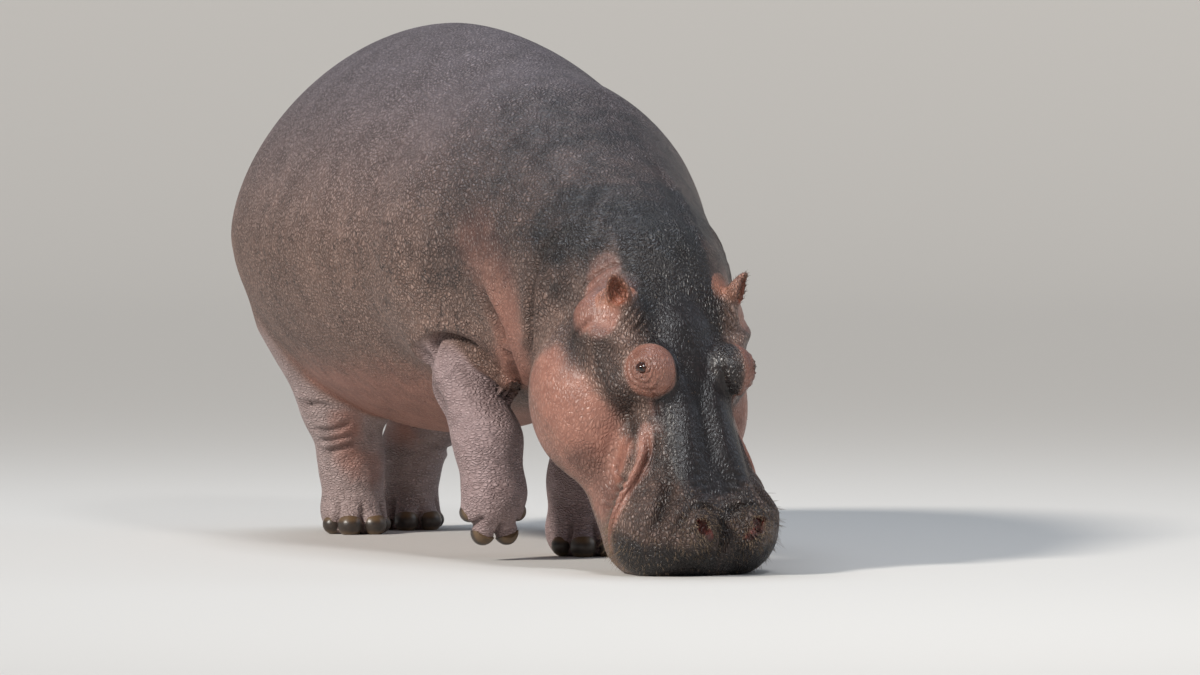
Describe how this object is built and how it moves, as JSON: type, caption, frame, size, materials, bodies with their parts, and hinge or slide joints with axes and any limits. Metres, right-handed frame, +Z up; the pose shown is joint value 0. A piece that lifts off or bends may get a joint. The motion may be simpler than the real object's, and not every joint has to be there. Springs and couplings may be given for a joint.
{
  "type": "hippopotamus",
  "caption": "Life-size adult hippopotamus in a still walking pose, one foreleg lifted and its muzzle resting on the ground.",
  "frame": {"origin": "on the floor, under the middle of the box around the animal", "axes": "+Z up, -Y ahead towards the muzzle, +X towards the animal's left side"},
  "size_m": [1.1296, 3.1416, 1.4936],
  "materials": {
    "hide": "dry grey-brown hide with fine wrinkles",
    "face": "damp dark hide with a soft gloss",
    "nail": "worn horn with a dull shine",
    "eye": "wet dark amber-brown eye"
  },
  "bodies": {
    "root": {"trunk": "hide", "neck": "hide", "head": "face", "lower_jaw": "face", "ear_left": "face", "eye_left": "eye", "ear_right": "face", "eye_right": "eye", "fore_left_leg": "hide", "fore_left_foot": "hide", "fore_left_nail_1": "nail", "fore_left_nail_2": "nail", "fore_left_nail_3": "nail", "fore_left_nail_4": "nail", "fore_right_leg": "hide", "fore_right_foot": "hide", "fore_right_nail_1": "nail", "fore_right_nail_2": "nail", "fore_right_nail_3": "nail", "fore_right_nail_4": "nail", "hind_left_leg": "hide", "hind_left_foot": "hide", "hind_left_nail_1": "nail", "hind_left_nail_2": "nail", "hind_left_nail_3": "nail", "hind_left_nail_4": "nail", "hind_right_leg": "hide", "hind_right_foot": "hide", "hind_right_nail_1": "nail", "hind_right_nail_2": "nail", "hind_right_nail_3": "nail", "hind_right_nail_4": "nail", "tail": "hide"}
  },
  "joints": []
}
